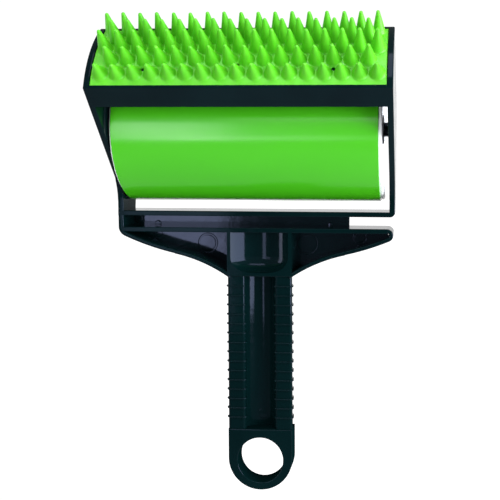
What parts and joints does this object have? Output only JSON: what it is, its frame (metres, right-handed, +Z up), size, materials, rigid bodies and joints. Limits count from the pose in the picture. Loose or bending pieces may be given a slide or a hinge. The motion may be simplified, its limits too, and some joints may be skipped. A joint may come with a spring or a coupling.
{
  "type": "lint roller",
  "caption": "Hand-held lint roller: a sticky roller turns freely in a frame under a tilted pad of rubber fingers, on a ribbed handle with a hanging loop.",
  "frame": {"origin": "centre of the hanging hole in the handle's loop, halfway through its thickness", "axes": "+X to the right along the roller, +Y to the back (the hanging hole's axis), +Z up the handle towards the roller"},
  "size_m": [0.16, 0.1129, 0.2707],
  "materials": {
    "frame": "glossy, almost black blue-green",
    "finger_rubber": "satin, vivid green",
    "sticky_gel": "glossy and tacky, green",
    "white_core": "glossy, white",
    "end_cap": "satin, off-white"
  },
  "bodies": {
    "frame": {"tray_deck": "frame", "tray_front_wall": "frame", "tray_rear_wall": "frame", "left_arm": "frame", "right_arm": "frame", "crossbar": "frame", "channel_web": "frame", "wing_bar": "frame", "left_wing_rim": "frame", "right_wing_rim": "frame", "left_wing_web": "frame", "right_wing_web": "frame", "yoke_block": "frame", "grip_body": "frame", "left_grip_ribs": "frame", "right_grip_ribs": "frame", "hang_loop": "frame", "left_axle_stub": "frame", "right_axle_stub": "frame", "finger_pad": "finger_rubber", "locating_pins": "frame"},
    "roller": {"core_tube": "white_core", "sticky_sleeve": "sticky_gel", "left_end_cap": "end_cap", "right_end_cap": "end_cap"}
  },
  "joints": [
    {"name": "roller_spin", "type": "hinge", "parent": "frame", "child": "roller", "pos_m": [-0.0023, 0.012, 0.1925], "axis": [1, 0, 0], "continuous": true}
  ]
}
